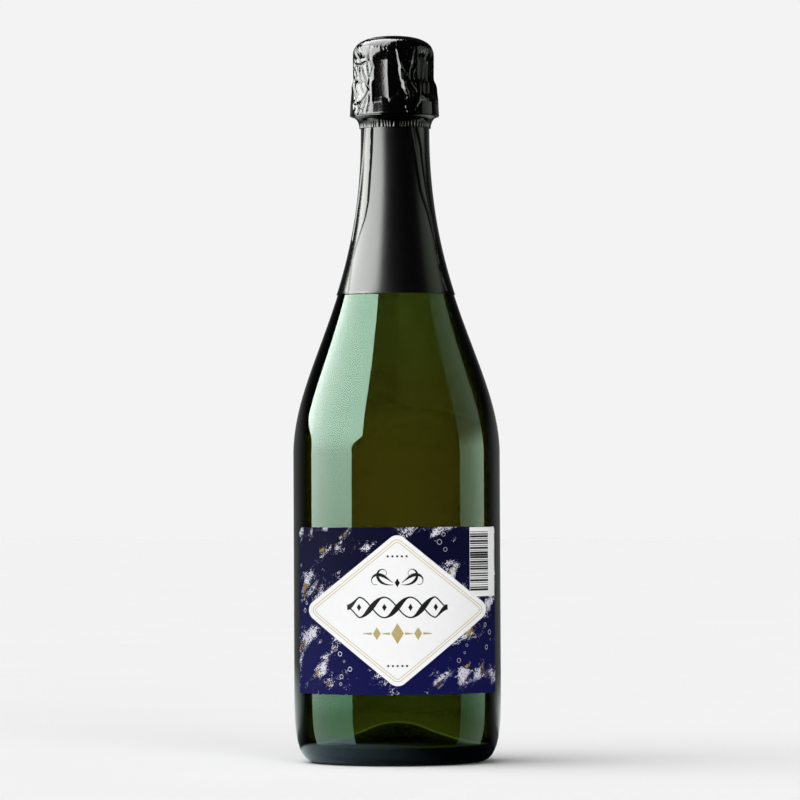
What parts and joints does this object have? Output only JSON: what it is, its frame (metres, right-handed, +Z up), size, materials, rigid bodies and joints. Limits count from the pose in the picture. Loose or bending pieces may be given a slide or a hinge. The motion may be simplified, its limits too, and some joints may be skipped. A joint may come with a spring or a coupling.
{
  "type": "sparkling wine bottle",
  "caption": "Full sparkling wine bottle with mushroom cork, twisted wire cage, black foil hood with tear strip, and a wrapped front label.",
  "frame": {"origin": "on the bottle's axis, in the plane of the foot that it stands on", "axes": "+Z up along the bottle's axis; -Y towards the middle of the label; +X to the right as the label is read"},
  "size_m": [0.0892, 0.0896, 0.3133],
  "materials": {
    "bottle_glass": "polished",
    "wine": "polished",
    "pressed_cork": "matte",
    "natural_cork": "matte",
    "steel_wire": "satin",
    "cap_metal": "gloss",
    "black_foil": "gloss",
    "label_paper": "matte"
  },
  "bodies": {
    "bottle": {"glass_bottle": "bottle_glass", "wine": "wine", "foil_neck_sleeve": "black_foil", "front_label": "label_paper"},
    "cork": {"cork_body": "pressed_cork", "cork_disc_upper": "natural_cork", "cork_disc_lower": "natural_cork"},
    "wire_cage": {"cage_cap_plaque": "cap_metal", "cage_wire_1": "steel_wire", "cage_wire_2": "steel_wire", "cage_wire_3": "steel_wire", "cage_wire_4": "steel_wire", "cage_belt_wire": "steel_wire"},
    "wire_loop": {"cage_loop": "steel_wire"},
    "foil_hood": {"foil_hood_skirt": "black_foil", "foil_top_disc": "black_foil"},
    "tear_strip": {"foil_tear_strip": "black_foil", "foil_pull_tab": "black_foil"}
  },
  "joints": [
    {"name": "cork_pull", "type": "slide", "parent": "bottle", "child": "cork", "axis": [0, 0, 1], "range_m": [0, 0.04]},
    {"name": "cage_lift", "type": "slide", "parent": "cork", "child": "wire_cage", "axis": [0, 0, 1], "range_m": [0, 0.04], "deforming": ["cage_wire_1", "cage_wire_2", "cage_wire_3", "cage_wire_4", "cage_belt_wire"]},
    {"name": "hood_pull", "type": "slide", "parent": "wire_cage", "child": "foil_hood", "axis": [0, 0, 1], "range_m": [0, 0.12]},
    {"name": "loop_fold", "type": "hinge", "parent": "wire_cage", "child": "wire_loop", "pos_m": [-0.01703, 0.00239, 0.2801], "axis": [-0.1392, -0.9903, 0], "range_deg": [0, 60]},
    {"name": "tear_strip_pull", "type": "hinge", "parent": "bottle", "child": "tear_strip", "pos_m": [0, 0, 0.2733], "axis": [0, 0, 1], "range_deg": [0, 360]}
  ],
  "couplings": [
    {"joint": "loop_fold", "follows": "hood_pull", "rad_per_m": 8.7266}
  ]
}
